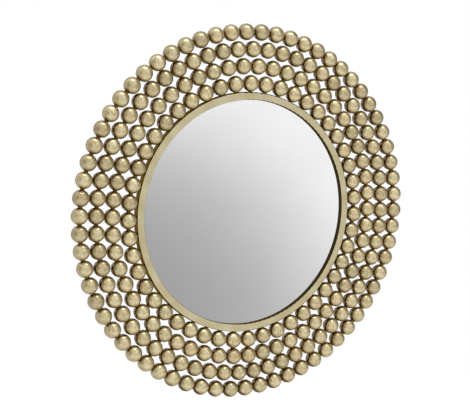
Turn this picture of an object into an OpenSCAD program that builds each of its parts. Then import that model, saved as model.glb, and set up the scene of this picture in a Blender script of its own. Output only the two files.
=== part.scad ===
// Round wall mirror: glass in a pressed trim ring, inside four rings of hollow metal balls.
// Millimetres. +Z is up and the glass faces -Y, so +X is on the right of a person looking into it.
// The origin is the centre of the disc, in the plane that holds the centres of all the balls.

/* [Trim ring] */
// Diameter of the opening that shows the glass
opening_d = 482.8; // [430:0.2:540]
// Width of the flat band round the opening
band_w = 16.4; // [13:0.1:22]
// How far the band's face stands in front of the balls' centres
band_h = 6.5; // [4:0.1:9]
// Thickness of the pressed sheet
sheet_t = 1.2; // [0.8:0.1:1.6]
// Radius of the band's outer bend
outer_bend_r = 2.4; // [1.8:0.1:3]
// Radius of the band's inner bend
inner_bend_r = 1.8; // [1.7:0.1:2.4]
// How far the glass lies behind the band's face
glass_recess = 7; // [5:0.1:8]
// Number of tabs folded over the backing board
tab_count = 12; // [6:1:18]
// Width of each folded tab
tab_w = 16; // [8:0.5:24]
// How far each tab reaches in over the board
tab_l = 10; // [6:0.5:14]
// How far the cuts between the tabs go past the fold
tab_relief = 0.8; // [0.4:0.1:1.5]

/* [Glass and board] */
// Thickness of the mirror glass
glass_t = 4; // [3:0.5:5]
// Gap between the glass's edge and the trim ring's wall
glass_gap = 2.5; // [1:0.1:4]
// Width of the ground flat on the glass's edges
arris_w = 0.6; // [0.3:0.1:1]
// Thickness of the foam tape between the trim ring's lip and the glass
tape_t = 0.8; // [0.5:0.1:1.5]
// Width of the foam tape
tape_w = 7; // [4:0.5:8]
// Thickness of the pads that bond the glass to the board
pad_t = 0.8; // [0.5:0.1:1.5]
// Diameter of each bonding pad
pad_d = 40; // [25:1:60]
// Number of pads in the circle round the middle one
pad_count = 8; // [4:1:10]
// Radius of the circle of pads
pad_circle_r = 165; // [110:1:180]
// Thickness of the backing board
board_t = 6; // [5.5:0.5:9]
// Gap between the board's edge and the trim ring's wall
board_gap = 0.6; // [0.3:0.1:1.5]

/* [Balls] */
// Diameter of each ball
ball_d = 35.7; // [30:0.1:38]
// Wall thickness of the hollow balls
ball_wall = 0.8; // [0.6:0.1:1.5]
// Gap between one ring of balls and the next
ring_gap = 0.2; // [0.15:0.05:0.4]
// Gap between the trim ring and the first ring of balls
trim_gap = 0.6; // [0.2:0.05:0.9]
// Least gap between neighbouring balls on one hoop
hoop_gap = 0.5; // [0.4:0.1:2]
// Angle of the first ball of ring 1, the innermost
turn_1 = 3.2; // [0:0.1:7.5]
// Angle of the first ball of ring 2
turn_2 = 4.4; // [0:0.1:6.5]
// Angle of the first ball of ring 3
turn_3 = 3.1; // [0:0.1:6]
// Angle of the first ball of ring 4, the outermost
turn_4 = 2.5; // [0:0.1:5.5]

/* [Hoops and brazing] */
// Diameter of the wire hoop that each ring of balls is threaded on
wire_d = 4; // [3:0.5:6]
// Least gap round the wire where it goes through a ball
wire_gap = 0.15; // [0.1:0.05:0.25]
// Gap round the wire inside a brazed neck
neck_gap = 0.05; // [0.02:0.01:0.1]
// Diameter of the brazed necks
braze_d = 9; // [7:0.5:11]
// Gap left between a neck's end and what it joins
seat_gap = 0.05; // [0.04:0.01:0.08]
// Widest gap between balls of neighbouring rings that is brazed
braze_reach = 0.7; // [0.45:0.05:1.2]

/* [Hangers] */
// Distance of each hanger from the upright centre line
hanger_x = 130; // [90:1:140]
// Height of the hangers' hinge above the centre
hanger_z = 120; // [90:1:130]
// Width of the hanger strap
strap_w = 12; // [10:0.5:15]
// Length of the strap below the hinge, up to its rounded end
strap_l = 24; // [23:0.5:34]
// Thickness of the strap
strap_t = 1.2; // [1:0.1:1.6]
// Diameter of the hanger ring's wire
loop_wire_d = 2.5; // [2:0.1:3]
// Width of the hanger ring, between the middles of its sides
loop_w = 20; // [19:0.5:26]
// Length of the straight sides of the hanger ring
loop_side = 4; // [3.5:0.5:8]
// Gap round the hanger ring's wire in the rolled eye
loop_gap = 0.2; // [0.1:0.05:0.3]
// Height of the rolled eye above the board
eye_lift = 0.15; // [0.1:0.05:0.4]
// Gap between the board and the tip of the hanger ring that leans on it
loop_rest_gap = 0.3; // [0.2:0.05:0.4]
// Distance from the hinge down to the first screw
screw_drop = 7.5; // [7:0.1:8]
// Distance between the two screws of a strap
screw_step = 14; // [13:0.5:15]
// Diameter of the hanger screws
screw_d = 3.4; // [2.5:0.1:4]
// Length of the screws in the board
screw_l = 4.6; // [3:0.1:5]
// Gap round each screw in the strap and in the board
screw_gap = 0.1; // [0.05:0.05:0.3]
// Diameter of the screw heads
head_d = 6.4; // [5.5:0.1:7]
// Height of the screw heads
head_h = 2.2; // [1.6:0.1:2.6]

/* [Wall bumpers] */
// Diameter of each rubber bumper
bumper_d = 16; // [10:1:24]
// Gap that the bumpers keep between the balls and the wall
wall_gap = 1.15; // [0.5:0.05:5]
// Distance of the bumpers' centres from the board's edge
bumper_inset = 30; // [22:1:40]
// Radius of the bumpers' rounded rim
bumper_round = 1.5; // [0.5:0.1:3]

/* [Hidden] */
$fn = 72;

opening_r = opening_d/2;
trim_r = opening_r + band_w;
wall_r = trim_r - sheet_t;

// Heights are counted from the balls' centres, and are positive towards the viewer.
glass_h = band_h - glass_recess;
lip_h = glass_h + tape_t;
glass_back_h = glass_h - glass_t;
board_h = glass_back_h - pad_t;
back_h = board_h - board_t;
tab_h = back_h - sheet_t;

glass_r = wall_r - glass_gap;
board_r = wall_r - board_gap;

ball_r = ball_d/2;
ring_pitch = ball_d + ring_gap;
first_ring_r = trim_r + trim_gap + ball_r;
ring_r = [for (k = [0:3]) first_ring_r + k*ring_pitch];
ring_turn = [turn_1, turn_2, turn_3, turn_4];
ring_count = [for (r = ring_r) floor(180/asin((ball_d + hoop_gap)/(2*r)))];
ring_step = [for (n = ring_count) 360/n];

wire_r = wire_d/2;
// The wire curves inwards on its way through a straight hole, so each ring's hole allows for that
bore_r = [for (r = ring_r) wire_r + wire_gap + r - sqrt(pow(r, 2) - pow(ball_r, 2))];

eye_bore_r = loop_wire_d/2 + loop_gap;
eye_r = eye_bore_r + strap_t;
eye_y = eye_r + eye_lift;
loop_reach = loop_side + loop_w/2;
// The ring leans on the board when it is turned up to its hook
loop_lean = asin((eye_y - loop_wire_d/2 - loop_rest_gap)/loop_reach);
board_y = -back_h;
bumper_l = ball_r + wall_gap - board_y;
bumper_r = (board_r - bumper_inset)*sin(45);

// Turns a plan drawn flat, with heights towards +Z, to face -Y
module face_on() rotate([90, 0, 0]) children();

// Quarter bend in the sheet, centred on the origin, from the inner to the outer radius
module bend(outer_r, inner_r) {
    intersection() {
        difference() { circle(outer_r); if (inner_r > 0) circle(inner_r); }
        square(outer_r);
    }
}

// The channel's section: inner lip, band, outer wall and the tab folded in over the board
module trim_section() {
    translate([opening_r, lip_h]) square([sheet_t, band_h - inner_bend_r - lip_h]);
    translate([opening_r + inner_bend_r, band_h - inner_bend_r]) mirror([1, 0])
        bend(inner_bend_r, inner_bend_r - sheet_t);
    translate([opening_r + inner_bend_r, band_h - sheet_t])
        square([band_w - inner_bend_r - outer_bend_r, sheet_t]);
    translate([trim_r - outer_bend_r, band_h - outer_bend_r]) bend(outer_bend_r, outer_bend_r - sheet_t);
    translate([wall_r, back_h]) square([sheet_t, band_h - outer_bend_r - back_h]);
    translate([wall_r, back_h]) mirror([0, 1]) bend(sheet_t, 0);
    translate([wall_r - tab_l, tab_h]) square([tab_l, sheet_t]);
}

// Pressed channel ring; between the tabs its folded edge is cut away
module trim_ring() {
    tab_angle = 360*tab_w/(2*PI*trim_r);
    color("#c9bf98") face_on() difference() {
        rotate_extrude($fn = 180) trim_section();
        for (i = [0:tab_count - 1])
            rotate(i*360/tab_count + tab_angle/2) rotate_extrude(angle = 360/tab_count - tab_angle, $fn = 180)
                translate([wall_r - tab_l - 1, tab_h - 1]) square([tab_l + sheet_t + 2, sheet_t + 1 + tab_relief]);
    }
}

// Foam strip between the lip and the face of the glass
module glazing_tape() {
    color("#2c2a26") face_on() rotate_extrude($fn = 180)
        translate([opening_r, glass_h]) square([tape_w, tape_t]);
}

// Silvered float glass with its edges ground off
module mirror_glass() {
    color("#c4cacc") face_on() rotate_extrude($fn = 180) polygon([
        [0, glass_h], [glass_r - arris_w, glass_h], [glass_r, glass_h - arris_w],
        [glass_r, glass_back_h + arris_w], [glass_r - arris_w, glass_back_h], [0, glass_back_h]
    ]);
}

// Double-sided pads, one in the middle and the rest in a circle
module bonding_pads() {
    color("#e8e4da") face_on() translate([0, 0, board_h]) {
        cylinder(d = pad_d, h = pad_t);
        for (i = [0:pad_count - 1])
            rotate(i*360/pad_count) translate([pad_circle_r, 0, 0]) cylinder(d = pad_d, h = pad_t);
    }
}

// Places its children at both screws of the hanger on one side, with +Y leaving the board
module at_screws(side) {
    for (i = [0:1])
        translate([side*hanger_x, board_y, hanger_z - screw_drop - i*screw_step]) children();
}

// Fibreboard disc with blind pilot holes for the hanger screws
module backing_board() {
    color("#8a6a4a") difference() {
        face_on() translate([0, 0, back_h]) cylinder(r = board_r, h = board_t, $fn = 180);
        for (side = [-1, 1]) at_screws(side)
            rotate([90, 0, 0]) translate([0, 0, -1])
                cylinder(d = screw_d + 2*screw_gap, h = screw_l + 0.3 + 1, $fn = 32);
    }
}

module hoop(k) {
    color("#6f6142") face_on() rotate_extrude($fn = 180) translate([ring_r[k], 0]) circle(wire_r, $fn = 32);
}

// Hollow ball round the origin, drilled through along Z
module ball(hole_r) {
    rotate_extrude() difference() {
        circle(ball_r);
        circle(ball_r - ball_wall);
        translate([-ball_d, -ball_d]) square([ball_d + hole_r, 2*ball_d]);
    }
}

// Ring k of balls, with their holes along the hoop
module balls(k) {
    color("#bfae7c") face_on() for (i = [0:ring_count[k] - 1])
        rotate(ring_turn[k] + i*ring_step[k]) translate([ring_r[k], 0, 0]) rotate([90, 0, 0]) ball(bore_r[k]);
}

// How far a ball's surface falls away at a distance from the line that a neck lies on
function fall(r) = ball_r - sqrt(pow(ball_r, 2) - pow(r, 2));

// Brazed neck along Z, dished at both ends, that fills the gap between two balls round a hole.
// A flat one starts from a flat wall in place of the lower ball.
module neck(gap, hole_r = 0, flat = false) {
    reach = [hole_r, (hole_r + braze_d/2)/2, braze_d/2];
    rotate_extrude() polygon([
        for (r = reach) [r, gap + fall(r) - seat_gap],
        for (i = [2:-1:0]) [reach[i], seat_gap - (flat ? 0 : fall(reach[i]))]
    ]);
}

// Necks between the neighbouring balls of ring k; the hoop bends outwards a little inside each one
module hoop_brazing(k) {
    half = ring_step[k]/2;
    gap = 2*ring_r[k]*sin(half) - ball_d;
    color("#5b4c2e") face_on() for (i = [0:ring_count[k] - 1])
        rotate(ring_turn[k] + (i + 0.5)*ring_step[k]) translate([ring_r[k]*cos(half), -gap/2, 0])
            rotate([-90, 0, 0]) neck(gap, wire_r + neck_gap + ring_r[k]*(1 - cos(half)));
}

// Necks between the trim ring's wall and every ball of ring 1
module trim_brazing() {
    color("#5b4c2e") face_on() for (i = [0:ring_count[0] - 1])
        rotate(ring_turn[0] + i*ring_step[0]) translate([trim_r, 0, 0]) rotate([0, 90, 0])
            neck(trim_gap, flat = true);
}

function ball_at(k, angle) = ring_r[k]*[cos(angle), sin(angle)];

// Necks between rings k and k + 1, where two balls come close enough to meet
module ring_brazing(k) {
    color("#5b4c2e") face_on() for (i = [0:ring_count[k] - 1]) {
        inner_angle = ring_turn[k] + i*ring_step[k];
        j = round((inner_angle - ring_turn[k + 1])/ring_step[k + 1]);
        inner = ball_at(k, inner_angle);
        span = ball_at(k + 1, ring_turn[k + 1] + j*ring_step[k + 1]) - inner;
        if (norm(span) <= ball_d + braze_reach)
            translate(inner) rotate(atan2(span[1], span[0])) translate([ball_r, 0, 0]) rotate([0, 90, 0])
                neck(norm(span) - ball_d);
    }
}

// Steel strap with a rolled eye that holds the hanger ring
module hanger_strap(side) {
    color("#b9bcc0") difference() {
        translate([side*hanger_x, board_y, hanger_z]) difference() {
            union() {
                translate([-strap_w/2, 0, -strap_l]) cube([strap_w, strap_t, strap_l - strap_t]);
                translate([0, 0, -strap_l]) rotate([-90, 0, 0]) cylinder(d = strap_w, h = strap_t);
                translate([0, eye_y, 0]) rotate([0, 90, 0]) cylinder(r = eye_r, h = strap_w, center = true);
            }
            translate([0, eye_y, 0]) rotate([0, 90, 0])
                cylinder(r = eye_bore_r, h = strap_w + 2, center = true);
        }
        at_screws(side) rotate([-90, 0, 0]) translate([0, 0, -1])
            cylinder(d = screw_d + 2*screw_gap, h = strap_t + 2, $fn = 32);
    }
}

// D-shaped wire ring, turned up to its wall hook and leaning on the board
module hanger_ring(side) {
    wire = loop_wire_d/2;
    color("#c8cbcf") translate([side*hanger_x, board_y + eye_y, hanger_z]) rotate([loop_lean, 0, 0]) {
        rotate([0, 90, 0]) cylinder(r = wire, h = loop_w, center = true);
        for (x = [-loop_w/2, loop_w/2]) translate([x, 0, 0]) {
            sphere(wire);
            cylinder(r = wire, h = loop_side);
        }
        translate([0, 0, loop_side]) rotate([90, 0, 0])
            rotate_extrude(angle = 180) translate([loop_w/2, 0]) circle(wire);
    }
}

// Cross-head screws, two to a strap
module hanger_screws() {
    dome_r = (pow(head_d/2, 2) + pow(head_h, 2))/(2*head_h) + 0.6;
    color("#d6d8da") for (side = [-1, 1]) at_screws(side) rotate([-90, 0, 0]) difference() {
        union() {
            translate([0, 0, -screw_l]) cylinder(d = screw_d, h = screw_l + strap_t + head_h/4, $fn = 32);
            translate([0, 0, strap_t]) intersection() {
                cylinder(d = head_d, h = head_h, $fn = 48);
                translate([0, 0, head_h - dome_r]) sphere(dome_r);
            }
        }
        for (turn = [0, 90]) rotate(turn)
            translate([-head_d/4, -0.5, strap_t + head_h/2]) cube([head_d/2, 1, head_h]);
    }
}

// Rubber bumpers that keep the balls off the wall
module wall_bumpers() {
    color("#3a3a3a") for (x = [-bumper_r, bumper_r], z = [-bumper_r, bumper_r])
        translate([x, board_y, z]) rotate([-90, 0, 0]) rotate_extrude() difference() {
            square([bumper_d/2, bumper_l]);
            translate([bumper_d/2 - bumper_round, bumper_l - bumper_round]) difference() {
                square(bumper_round + 1);
                circle(bumper_round);
            }
        }
}

trim_ring();
glazing_tape();
mirror_glass();
bonding_pads();
backing_board();
hoop(0);  // hoop_1
hoop(1);  // hoop_2
hoop(2);  // hoop_3
hoop(3);  // hoop_4
balls(0);  // balls_1
balls(1);  // balls_2
balls(2);  // balls_3
balls(3);  // balls_4
hoop_brazing(0);  // hoop_brazing_1
hoop_brazing(1);  // hoop_brazing_2
hoop_brazing(2);  // hoop_brazing_3
hoop_brazing(3);  // hoop_brazing_4
trim_brazing();
ring_brazing(0);  // ring_brazing_1_2
ring_brazing(1);  // ring_brazing_2_3
ring_brazing(2);  // ring_brazing_3_4
hanger_strap(-1);  // hanger_strap_left
hanger_strap(1);  // hanger_strap_right
hanger_ring(-1);  // hanger_ring_left
hanger_ring(1);  // hanger_ring_right
hanger_screws();
wall_bumpers();
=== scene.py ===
import math
import random
import bpy
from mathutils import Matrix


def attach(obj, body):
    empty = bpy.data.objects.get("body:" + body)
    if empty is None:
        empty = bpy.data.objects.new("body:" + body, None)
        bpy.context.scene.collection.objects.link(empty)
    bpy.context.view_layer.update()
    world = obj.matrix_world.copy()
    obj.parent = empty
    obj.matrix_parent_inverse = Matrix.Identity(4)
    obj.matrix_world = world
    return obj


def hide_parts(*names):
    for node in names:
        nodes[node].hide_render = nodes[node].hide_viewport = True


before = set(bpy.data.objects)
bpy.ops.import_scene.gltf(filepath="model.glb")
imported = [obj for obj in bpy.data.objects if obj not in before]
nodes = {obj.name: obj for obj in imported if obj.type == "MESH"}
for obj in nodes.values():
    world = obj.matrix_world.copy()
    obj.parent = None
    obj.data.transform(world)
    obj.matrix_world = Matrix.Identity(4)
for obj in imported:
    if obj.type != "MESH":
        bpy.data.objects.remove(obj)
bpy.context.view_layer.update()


# The four hoops: round steel wire, each bent and welded into a ring that its balls are threaded on.
# Only a sliver of each shows, deep between two balls.
class Value:
    """A number or a colour on its way through a material's nodes, for use in sums."""

    def __init__(self, finish, socket):
        self.finish, self.socket = finish, socket

    def maths(self, operation, first, second):
        return self.finish.get("ShaderNodeMath", {"operation": operation}, {0: first, 1: second})

    def __add__(self, other):
        return self.maths("ADD", self, other)

    def __radd__(self, other):
        return self.maths("ADD", other, self)

    def __sub__(self, other):
        return self.maths("SUBTRACT", self, other)

    def __rsub__(self, other):
        return self.maths("SUBTRACT", other, self)

    def __mul__(self, other):
        return self.maths("MULTIPLY", self, other)

    def __rmul__(self, other):
        return self.maths("MULTIPLY", other, self)

    def __pow__(self, other):
        return self.maths("POWER", self, other)


class Finish:
    """A material, or the world's surroundings, built up node by node."""

    def __init__(self, name, owner=None):
        self.owner = owner or bpy.data.materials.new(name)
        self.owner.use_nodes = True
        self.tree = self.owner.node_tree
        self.tree.nodes.clear()

    def add(self, kind, settings=None, sockets=None):
        """Any node: its settings first, then the values or links of its sockets."""
        node = self.tree.nodes.new(kind)
        for key, setting in (settings or {}).items():
            setattr(node, key, setting)
        for key, value in (sockets or {}).items():
            if isinstance(value, Value):
                self.tree.links.new(value.socket, node.inputs[key])
            else:
                node.inputs[key].default_value = value
        return node

    def get(self, kind, settings=None, sockets=None, output=0):
        """Any node, for the value that one of its outputs gives."""
        return Value(self, self.add(kind, settings, sockets).outputs[output])

    def place(self, scale=(1, 1, 1)):
        """The point on the piece, in metres, times scale. Below 1, scale draws a pattern out."""
        spot = self.get("ShaderNodeTexCoord", output="Object")
        return self.get("ShaderNodeMapping", {"vector_type": "POINT"},
                        {"Vector": spot, "Scale": scale})

    def axis(self, spot, name):
        return self.get("ShaderNodeSeparateXYZ", None, {0: spot}, name)

    def radius(self, spot):
        """How far the point is from the middle of the mirror, seen from the front."""
        across, up = self.axis(spot, "X"), self.axis(spot, "Z")
        return (across * across + up * up) ** 0.5

    def along(self, vector, way):
        """How nearly the vector points this way: 1 when it does, 0 square to it, -1 opposite."""
        return self.get("ShaderNodeVectorMath", {"operation": "DOT_PRODUCT"},
                        {0: vector, 1: way}, "Value")

    def noise(self, spot, scale, detail=3, rough=0.55):
        return self.get("ShaderNodeTexNoise", None,
                        {"Vector": spot, "Scale": scale, "Detail": detail, "Roughness": rough})

    def ramp(self, value, low, high, start=0.0, end=1.0):
        """Runs smoothly from start to end while value goes from low to high."""
        return self.get("ShaderNodeMapRange", {"interpolation_type": "SMOOTHSTEP"},
                        {"Value": value, 1: low, 2: high, 3: start, 4: end})

    def blend(self, share, one, two):
        """Colour one where share is 0 and colour two where it is 1."""
        return self.get("ShaderNodeMix", {"data_type": "RGBA"}, {0: share, 6: one, 7: two}, 2)

    def bump(self, height, strength, distance):
        return self.get("ShaderNodeBump", None,
                        {"Height": height, "Strength": strength, "Distance": distance})

    def surface(self, **sockets):
        """Ends the material in a Principled shader with these sockets."""
        named = {key.replace("_", " "): value for key, value in sockets.items()}
        shader = self.get("ShaderNodeBsdfPrincipled", None, named)
        self.add("ShaderNodeOutputMaterial", None, {"Surface": shader})
        return self.owner


def rgb(red, green, blue):
    """A colour from the 0 to 255 numbers that a paint chart gives, as light."""
    def linear(c):
        return c / 12.92 if c <= 0.04045 else ((c + 0.055) / 1.055) ** 2.4
    return (*(linear(c / 255) for c in (red, green, blue)), 1.0)


def coat(node, material):
    """Gives a CAD piece its finish."""
    nodes[node].data.materials.clear()
    nodes[node].data.materials.append(material)


finish = Finish("drawn_wire")
drawn = finish.noise(finish.place(), 360, 2)
drawn_wire = finish.surface(
    Base_Color=finish.blend(drawn, rgb(112, 96, 62), rgb(150, 132, 92)),
    Metallic=1.0,
    Roughness=finish.ramp(drawn, 0.3, 0.7, 0.34, 0.5),
)
for node in ("hoop_1", "hoop_2", "hoop_3", "hoop_4"):
    coat(node, drawn_wire)


# The 227 balls: hollow steel, each two pressed halves welded and ground round, drilled for the hoop,
# then plated a pale champagne gold and brushed by hand, so each one differs a little in tone.
# One pattern ball is repeated round each hoop, and each ring stands for its CAD node.
ball_r = 0.01785
hole_r = 0.0027
hole_depth = 0.0008
rings = (
    # name, radius of the hoop, number of balls, angle of the first ball, CAD node it stands for
    ("ring_1_balls", 0.27625, 47, 3.2, "balls_1"),
    ("ring_2_balls", 0.31215, 54, 4.4, "balls_2"),
    ("ring_3_balls", 0.34805, 60, 3.1, "balls_3"),
    ("ring_4_balls", 0.38395, 66, 2.5, "balls_4"),
)
chance = random.Random(7)


def settle():
    """Puts the active object's place, turn and size into its mesh."""
    bpy.ops.object.transform_apply(location=True, rotation=True, scale=True)


bpy.ops.object.select_all(action="DESELECT")
bpy.ops.mesh.primitive_uv_sphere_add(segments=20, ring_count=10, radius=ball_r)
pattern = bpy.context.object
pattern.name = "pattern_ball"
bpy.ops.object.mode_set(mode="EDIT")
rim_height = math.sqrt(ball_r**2 - hole_r**2)
for side in (1, -1):
    bpy.ops.mesh.select_all(action="SELECT")
    bpy.ops.mesh.bisect(plane_co=(0, 0, side * rim_height), plane_no=(0, 0, side),
                        clear_outer=True, use_fill=True)
    bpy.ops.mesh.extrude_region_move(TRANSFORM_OT_translate={"value": (0, 0, -side * hole_depth)})
bpy.ops.mesh.select_all(action="SELECT")
bpy.ops.mesh.normals_make_consistent(inside=False)
bpy.ops.object.mode_set(mode="OBJECT")
bpy.ops.object.shade_smooth_by_angle(angle=math.radians(40))

finish = Finish("champagne_plate")
tone = finish.get("ShaderNodeAttribute", {"attribute_name": "tone"}, output="Fac")
warmth = finish.get("ShaderNodeAttribute", {"attribute_name": "warmth"}, output="Fac")
spot = finish.place()
cloud = finish.noise(spot, 70, 2, 0.5)
streaks = finish.noise(finish.place((1, 1, 0.08)), 480, 2, 0.5)

# Painted shade: the balls are darkened where neighbours meet, near the plane of the hoops. The
# outside of the outer ring has no neighbour and is left light, except on the lowest balls, which are
# darkened there too.
crease_full, crease_gone, crease_drift = 0.00002, 0.000072, 0.00003  # distances, squared
outside_r = (0.387, 0.396)
lowest_z = (-0.365, -0.325)
depth = finish.axis(spot, "Y")
drifting = depth * depth + (cloud - 0.5) * crease_drift
between = finish.ramp(drifting, crease_full, crease_gone, 1.0, 0.0)
outside = finish.ramp(finish.radius(spot), *outside_r)
lowest = finish.ramp(finish.axis(spot, "Z"), *lowest_z, 1.0, 0.0)
painted_crease_shade = between * (1 - outside * (1 - lowest))

# Painted shade: the lowest balls are darker and duller underneath, with less metal and lacquer
# there, standing in for the shadow below the mirror.
underneath = (-0.55, 0.3, -0.78)
downward = finish.along(finish.get("ShaderNodeNewGeometry", output="Normal"), underneath)
painted_underside_shade = finish.ramp(downward, 0.35, 0.65) * lowest

champagne, pale_champagne = rgb(195, 178, 129), rgb(220, 206, 163)
brush_mark, coppery, aged = rgb(147, 127, 82), rgb(194, 156, 102), rgb(142, 125, 81)
# The last two colours are painted shade: between the balls, and under the lowest balls.
painted_shade_colour, underside_shade_colour = rgb(112, 80, 27), rgb(76, 58, 26)
plate = finish.blend(finish.ramp(cloud, 0.3, 0.7), champagne, pale_champagne)
plate = finish.blend(finish.ramp(streaks, 0.45, 0.65, 0.0, 0.5), plate, brush_mark)
plate = finish.blend(warmth, plate, coppery)
plate = finish.blend(tone, plate, aged)
# Painted shade: darker brown where the balls meet their neighbours.
plate = finish.blend(painted_crease_shade * 0.9, plate, painted_shade_colour)
# Painted shade under the lowest balls.
plate = finish.blend(painted_underside_shade * 0.9, plate, underside_shade_colour)
champagne_balls = finish.surface(
    Base_Color=plate,
    Metallic=1 - painted_underside_shade * 0.6,
    Roughness=finish.ramp(cloud + streaks * 0.5, 0.45, 1.1, 0.26, 0.38),
    Specular_Tint=rgb(214, 188, 132),
    Coat_Weight=1 - painted_underside_shade,
    Coat_Roughness=0.1,
    Coat_IOR=1.7,
    Normal=finish.bump(streaks, 0.4, 0.0002),
)

for name, hoop_r, count, first, node in rings:
    bpy.ops.object.select_all(action="DESELECT")
    pattern.select_set(True)
    bpy.context.view_layer.objects.active = pattern
    bpy.ops.object.duplicate()
    ring = bpy.context.object
    ring.name = name
    angle = math.radians(first)
    ring.location = (hoop_r * math.cos(angle), 0, hoop_r * math.sin(angle))
    ring.rotation_euler = (0, -angle, 0)
    settle()
    points_of_one = len(ring.data.vertices)
    pivot = bpy.data.objects.new("pivot", None)
    bpy.context.scene.collection.objects.link(pivot)
    pivot.rotation_euler = (0, -2 * math.pi / count, 0)
    bpy.context.view_layer.update()
    row = ring.modifiers.new("row", "ARRAY")
    row.use_relative_offset = False
    row.use_object_offset = True
    row.offset_object = pivot
    row.count = count
    bpy.ops.object.modifier_apply(modifier="row")
    bpy.data.objects.remove(pivot)
    # Each ball has its own share of both. Most draws are low, the more so the rarer a high one is.
    for label, most, rarity in (("tone", 0.5, 2), ("warmth", 0.26, 4)):
        layer = ring.data.attributes.new(label, "FLOAT", "POINT")
        shades = [most * chance.random() ** rarity for _ in range(count)]
        layer.data.foreach_set("value", [shade for shade in shades for _ in range(points_of_one)])
    ring.data.materials.clear()
    ring.data.materials.append(champagne_balls)
    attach(ring, "mirror")
    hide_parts(node)
bpy.data.objects.remove(pattern)


# The necks: braze metal run into the crease wherever two balls meet, or a ball meets the trim ring.
# It is plated with the rest but stays darker, because no brush reaches it.
finish = Finish("plated_braze")
flow = finish.noise(finish.place(), 420, 3, 0.6)
plated_braze = finish.surface(
    Base_Color=finish.blend(finish.ramp(flow, 0.3, 0.7), rgb(98, 78, 42), rgb(128, 105, 62)),
    Metallic=1.0,
    Specular_Tint=rgb(150, 120, 70),
    Roughness=finish.ramp(flow, 0.3, 0.7, 0.4, 0.58),
    Normal=finish.bump(flow, 0.5, 0.0003),
)
for node in ("hoop_brazing_1", "hoop_brazing_2", "hoop_brazing_3", "hoop_brazing_4",
             "trim_brazing", "ring_brazing_1_2", "ring_brazing_2_3", "ring_brazing_3_4"):
    coat(node, plated_braze)


# The trim ring: one pressed channel of thin steel, plated like the balls and brushed in circles.
# Its inner lip hides the edge of the glass, and its tabs fold over the board at the back.
# The lip's edge and the outer wall are painted darker than the face and the tabs: painted shade in
# the recesses.
face_y = (-0.0063, -0.0056)
tab_y = (0.0112, 0.0116)
lip_to_wall_r = (0.243, 0.25)
lines_per_metre, breaks_per_radian = 9000, 14
finish = Finish("brushed_trim")
spot = finish.place()
depth = finish.axis(spot, "Y")
from_centre = finish.radius(spot)
turn = finish.get("ShaderNodeMath", {"operation": "ARCTAN2"},
                  {0: finish.axis(spot, "Z"), 1: finish.axis(spot, "X")})
round_spot = finish.get("ShaderNodeCombineXYZ", None, {
    "X": from_centre * lines_per_metre,
    "Y": depth * lines_per_metre,
    "Z": turn * breaks_per_radian,
})
lines = finish.noise(round_spot, 1, 2, 0.6)
cloud = finish.noise(spot, 26, 3, 0.55)
painted_recess_shade = finish.ramp(depth, *face_y) * (1 - finish.ramp(depth, *tab_y))
plate = finish.blend(finish.ramp(cloud, 0.3, 0.7), rgb(198, 186, 147), rgb(212, 202, 168))
plate = finish.blend(finish.ramp(lines, 0.3, 0.8, 0.0, 0.25), plate, rgb(172, 156, 112))
recess_shade_colour = finish.blend(finish.ramp(from_centre, *lip_to_wall_r), rgb(58, 52, 30), rgb(126, 105, 62))
brushed_trim = finish.surface(
    # Painted shade on the lip's edge and the outer wall.
    Base_Color=finish.blend(painted_recess_shade, plate, recess_shade_colour),
    Metallic=1.0,
    Roughness=finish.ramp(lines + cloud * 0.6, 0.5, 1.2, 0.34, 0.48),
    Specular_Tint=rgb(205, 186, 140),
    Normal=finish.bump(lines, 0.25, 0.00008),
)
coat("trim_ring", brushed_trim)


# The glazing tape: a thin strip of black closed-cell foam, stuck inside the lip so the glass can't
# rattle. It shows only as a dark line beside the glass.
def foam(name, fineness, dark, light, roughness):
    """Closed-cell foam of one colour, a little darker inside its cells."""
    finish = Finish(name)
    cells = finish.get("ShaderNodeTexVoronoi", {"feature": "F1"},
                       {"Vector": finish.place(), "Scale": fineness})
    return finish.surface(
        Base_Color=finish.blend(cells, dark, light),
        Roughness=roughness,
        Normal=finish.bump(cells, 0.4, 0.0002),
    )


coat("glazing_tape", foam("black_foam", 2600, rgb(22, 22, 20), rgb(48, 47, 43), 0.9))


# The mirror: flat 4 mm float glass with ground edges, silvered on the back, then sealed with grey
# paint. Seen from the front it is the silver that shows; the edge is the green of window glass.
edge_y = (0.00051, 0.00056)
back_y = (0.00445, 0.00449)
finish = Finish("silvered_glass")
spot = finish.place()
depth = finish.axis(spot, "Y")
haze = finish.noise(spot, 7, 2, 0.5)
is_back = finish.ramp(depth, *back_y)
is_edge = finish.ramp(depth, *edge_y) * (1 - is_back)
front = finish.blend(finish.ramp(haze, 0.3, 0.7), (0.868, 0.867, 0.88, 1), (0.893, 0.892, 0.905, 1))
skin = finish.blend(is_edge, front, rgb(120, 160, 146))
skin = finish.blend(is_back, skin, rgb(98, 101, 104))
silvered_glass = finish.surface(
    Base_Color=skin,
    Metallic=finish.ramp(is_edge + is_back, 0.0, 1.0, 1.0, 0.0),
    Roughness=finish.ramp(is_edge + is_back, 0.0, 1.0, 0.015, 0.4),
)
coat("mirror_glass", silvered_glass)


# The bonding pads: discs punched from white foam tape with glue on both faces.
# They are pressed between the back of the glass and the board, and hold the two together.
coat("bonding_pads", foam("white_foam", 2200, rgb(214, 210, 200), rgb(236, 233, 225), 0.85))


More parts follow.
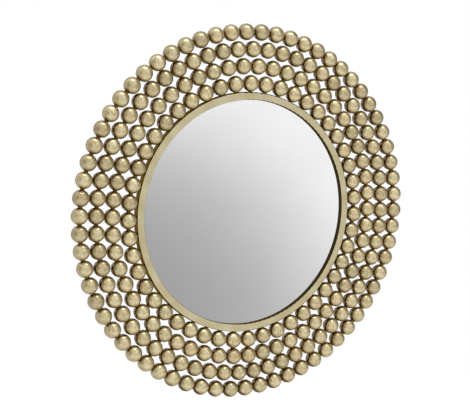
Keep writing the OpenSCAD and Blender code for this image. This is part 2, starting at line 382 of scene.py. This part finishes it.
# The backing board: a disc sawn from 6 mm medium-density fibreboard, smooth on its faces,
# speckled with lighter and darker fibres, and darker on the sawn edge.
sawn_edge_r = (0.2552, 0.2559)
finish = Finish("fibreboard")
spot = finish.place()
fibre = finish.noise(finish.place((1, 1, 0.35)), 900, 4, 0.7)
fleck = finish.noise(finish.place((0.4, 1, 1)), 2300, 2, 0.6)
stain = finish.noise(spot, 5, 3, 0.5)
edge = finish.ramp(finish.radius(spot), *sawn_edge_r)
board = finish.blend(finish.ramp(stain, 0.3, 0.7), rgb(158, 126, 92), rgb(172, 140, 104))
board = finish.blend(finish.ramp(fibre, 0.42, 0.75, 0.0, 0.5), board, rgb(122, 92, 62))
board = finish.blend(finish.ramp(fleck, 0.6, 0.75, 0.0, 0.6), board, rgb(196, 168, 130))
board = finish.blend(edge * 0.5, board, rgb(104, 76, 50))
fibreboard = finish.surface(
    Base_Color=board,
    Roughness=finish.ramp(fibre, 0.3, 0.7, 0.62, 0.82),
    Normal=finish.bump(fibre + fleck * 0.5, 0.25, 0.0002),
)
coat("backing_board", fibreboard)


# The hangers: stamped steel straps with rolled eyes, each holding a D-shaped wire ring, and each
# held by two cross-head screws. All of it is bright zinc plate with a faint blue and yellow bloom.
finish = Finish("zinc_plate")
bloom = finish.noise(finish.place(), 160, 3, 0.6)
scuff = finish.noise(finish.place((1, 1, 0.12)), 3200, 2, 0.6)
zinc = finish.blend(finish.ramp(bloom, 0.3, 0.7), rgb(188, 192, 198), rgb(206, 205, 196))
zinc = finish.blend(finish.ramp(scuff, 0.55, 0.8, 0.0, 0.4), zinc, rgb(150, 152, 156))
zinc_plate = finish.surface(
    Base_Color=zinc,
    Metallic=1.0,
    Roughness=finish.ramp(bloom + scuff * 0.5, 0.5, 1.1, 0.24, 0.42),
    Normal=finish.bump(scuff, 0.2, 0.0001),
)
for node in ("hanger_strap_left", "hanger_strap_right", "hanger_ring_left", "hanger_ring_right",
             "hanger_screws"):
    coat(node, zinc_plate)


# The wall bumpers: four feet moulded in black rubber, dull and a little grey with age.
# They are stuck to the back of the board, and keep the balls off the wall.
finish = Finish("moulded_rubber")
greying = finish.noise(finish.place(), 300, 4, 0.6)
moulded_rubber = finish.surface(
    Base_Color=finish.blend(finish.ramp(greying, 0.35, 0.75), rgb(38, 38, 38), rgb(62, 61, 59)),
    Roughness=finish.ramp(greying, 0.3, 0.7, 0.55, 0.75),
    Normal=finish.bump(greying, 0.3, 0.0002),
)
coat("wall_bumpers", moulded_rubber)


# The studio floor: a round floor painted white. The mirror hangs free, 1.2 m over it.
# Painted light: the part of it in front of the mirror glows in reflections alone, and not near the
# mirror, so it shows brighter in the balls.
floor_z = -1.2
floor_r = 3.4
front_glow_y = (-0.75, -0.2)


def rays(finish, *kinds):
    """1 on rays of any of these kinds, and 0 on all others."""
    path = finish.add("ShaderNodeLightPath")
    share = Value(finish, path.outputs[kinds[0]])
    for kind in kinds[1:]:
        share = share + Value(finish, path.outputs[kind])
    return share


bpy.ops.object.select_all(action="DESELECT")
bpy.ops.mesh.primitive_circle_add(vertices=96, radius=floor_r, fill_type="NGON",
                                  location=(0, 0, floor_z))
floor = bpy.context.object
floor.name = "studio_floor"
settle()
finish = Finish("white_paint")
spot = finish.place()
rolled = finish.noise(spot, 30, 2, 0.5)
# Painted light: glow on the floor in front of the mirror, seen only in reflections.
front_glow = finish.ramp(finish.axis(spot, "Y"), *front_glow_y, 1.0, 0.0)
glow = rays(finish, "Is Camera Ray", "Is Transmission Ray") + rays(finish, "Is Glossy Ray") * front_glow
white_paint = finish.surface(
    Base_Color=finish.blend(rolled, (0.80, 0.80, 0.80, 1), (0.83, 0.83, 0.83, 1)),
    Roughness=0.9,
    Specular_IOR_Level=0.1,
    Emission_Color=finish.blend(glow, (0, 0, 0, 1), (1, 1, 1, 1)),
    Emission_Strength=0.35,
)
floor.data.materials.append(white_paint)


# The surroundings: a white room. What the mirror reflects of it is uneven, as in a real studio:
# it falls off to grey in some directions, among them low and to the right, and is lighter in one.
light_on_pieces = 0.85
world = bpy.data.worlds.new("studio")
bpy.context.scene.world = world
finish = Finish("studio", world)
heading = finish.get("ShaderNodeTexCoord", output="Generated")
room = 1.0
for way, near, far, level in (
    # direction from the mirror, degrees from it at full and at no depth, and how light it is there
    ((0.3895, -0.8897, -0.2382), 0, 12, 0.4),
    ((-0.89, -0.42, 0.18), 2, 17, 0.35),
    ((-0.81, -0.22, 0.54), 2, 17, 0.6),
    ((-0.97, 0.25, 0.0), 15, 55, 0.65),
    ((0.96, -0.2, 0.0), 16, 38, 0.5),
    ((0.48, 0.87, 0.0), 30, 75, 0.45),
    ((0.79, -0.05, 0.61), 10, 33, 0.42),
    ((0.36, -0.76, 0.54), 6, 20, 1.4),
):
    outer, inner = math.cos(math.radians(far)), math.cos(math.radians(near))
    room = room * finish.ramp(finish.along(heading, way), outer, inner, 1.0, level)
seen = rays(finish, "Is Camera Ray", "Is Glossy Ray", "Is Transmission Ray")
strength = finish.ramp(seen, 0.0, 1.0, light_on_pieces, 1.0)
strength = strength * (1 - rays(finish, "Is Glossy Ray") * (1 - room))
shader = finish.get("ShaderNodeBackground", None, {"Color": (1, 1, 1, 1), "Strength": strength})
finish.add("ShaderNodeOutputWorld", None, {"Surface": shader})


# The light: one softbox, 1.8 m long and 0.6 m wide. It hangs level 2.6 m above the middle of
# the mirror, with its long side square to the camera's line of sight.
camera_turn = math.radians(-29.08)
lamp = bpy.data.lights.new("top_softbox", "AREA")
lamp.shape, lamp.size, lamp.size_y = "RECTANGLE", 1.8, 0.6
lamp.energy = 16
softbox = bpy.data.objects.new("top_softbox", lamp)
bpy.context.scene.collection.objects.link(softbox)
softbox.location = (0.15, -0.6, 2.6)
softbox.rotation_euler = (0, 0, camera_turn)


# The camera: to the left of the mirror and a little above it, with a long lens.
# Its small shift is in pixels of a picture that is 470 wide.
camera_down = math.radians(8.18)
picture_width = 470
shift_right, shift_up = 0.5, -0.2
camera = bpy.data.objects.new("camera", bpy.data.cameras.new("camera"))
bpy.context.scene.collection.objects.link(camera)
bpy.context.scene.camera = camera
camera.location = (-1.521, -2.687, 0.4501)
camera.rotation_euler = (math.radians(90) - camera_down, 0, camera_turn)
camera.data.sensor_width = 36
camera.data.lens = 111.75
camera.data.shift_x = shift_right / picture_width
camera.data.shift_y = shift_up / picture_width

bpy.context.scene.view_settings.view_transform = "Standard"
